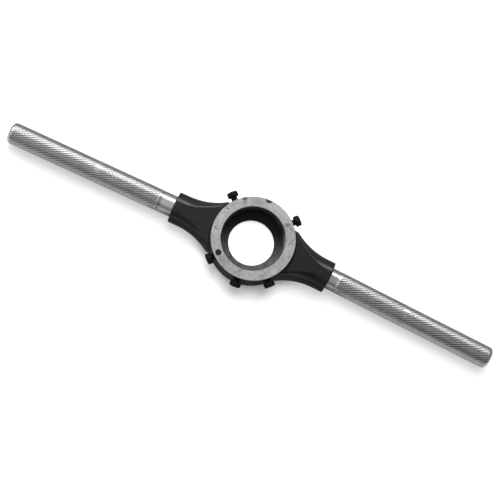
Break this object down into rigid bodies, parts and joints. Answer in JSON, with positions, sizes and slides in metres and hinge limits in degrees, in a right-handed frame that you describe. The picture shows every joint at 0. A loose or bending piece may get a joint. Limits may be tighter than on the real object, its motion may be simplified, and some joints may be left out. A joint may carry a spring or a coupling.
{
  "type": "die stock handle",
  "caption": "Die stock: a cast ring with a round pocket for a threading die, slotted clamping screws around it, and knurled handles on trumpet-shaped arms.",
  "frame": {"origin": "centre of the seat that the die rests on, at the bottom of the pocket", "axes": "+Z along the pocket's axis out of its mouth, +X from the left handle towards the right one, the spreader screw on the -Y side"},
  "size_m": [0.3151, 0.055, 0.023],
  "materials": {
    "body_casting": "satin black paint, bare machined face",
    "handle_steel": "bright plated, diamond knurl",
    "screw_steel": "black oxide"
  },
  "bodies": {
    "stock": {"stock_body": "body_casting", "left_handle": "handle_steel", "right_handle": "handle_steel"},
    "spreader_screw": {"spreader_screw": "screw_steel"},
    "left_closing_screw": {"left_closing_screw": "screw_steel"},
    "right_closing_screw": {"right_closing_screw": "screw_steel"},
    "left_holding_screw": {"left_holding_screw": "screw_steel"},
    "right_holding_screw": {"right_holding_screw": "screw_steel"}
  },
  "joints": [
    {"name": "spreader_screw_travel", "type": "slide", "parent": "stock", "child": "spreader_screw", "axis": [0.0523, -0.9986, 0], "range_m": [-0.0008, 0.0035]},
    {"name": "left_closing_screw_travel", "type": "slide", "parent": "stock", "child": "left_closing_screw", "axis": [-0.6691, -0.7431, 0], "range_m": [-0.0008, 0.0035]},
    {"name": "right_closing_screw_travel", "type": "slide", "parent": "stock", "child": "right_closing_screw", "axis": [0.7071, -0.7071, 0], "range_m": [-0.0008, 0.0035]},
    {"name": "left_holding_screw_travel", "type": "slide", "parent": "stock", "child": "left_holding_screw", "axis": [-0.7373, 0.6756, 0], "range_m": [-0.0012, 0.0035]},
    {"name": "right_holding_screw_travel", "type": "slide", "parent": "stock", "child": "right_holding_screw", "axis": [0.6626, 0.749, 0], "range_m": [-0.0012, 0.0035]}
  ]
}
